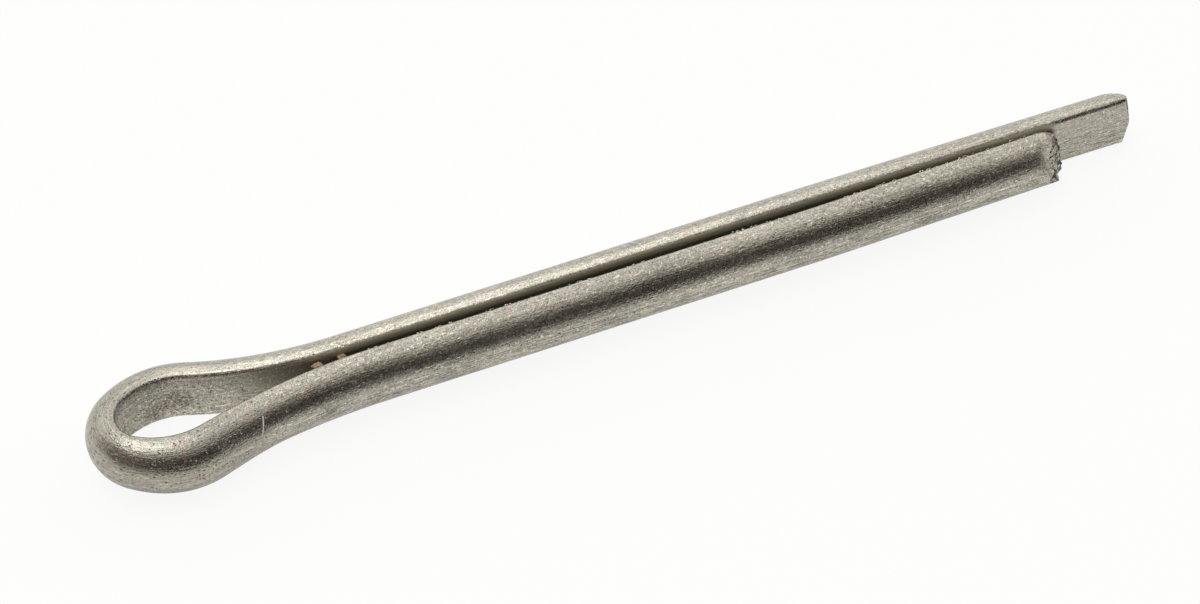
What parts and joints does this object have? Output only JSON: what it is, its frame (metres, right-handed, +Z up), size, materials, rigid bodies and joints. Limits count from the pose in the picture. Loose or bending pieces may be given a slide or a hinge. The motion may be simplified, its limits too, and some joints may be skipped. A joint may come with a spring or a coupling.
{
  "type": "split pin",
  "caption": "Split pin of half-round wire folded back on itself, with a drop-shaped eye and one leg longer than the other; it locks a shaft or castle nut.",
  "frame": {"origin": "on the shank's axis at the wire's mid height, just past the eye, where the two legs begin to run parallel", "axes": "+X along the shank from the eye to the leg tips, +Y across the legs towards the longer leg, +Z up, square to the eye's plane"},
  "size_m": [0.0583, 0.0071, 0.0036],
  "materials": {
    "steel": "plain drawn steel wire, satin grey with fine drawing lines, small pits and bright worn spots"
  },
  "bodies": {
    "root": {"split_pin": "steel"}
  },
  "joints": []
}
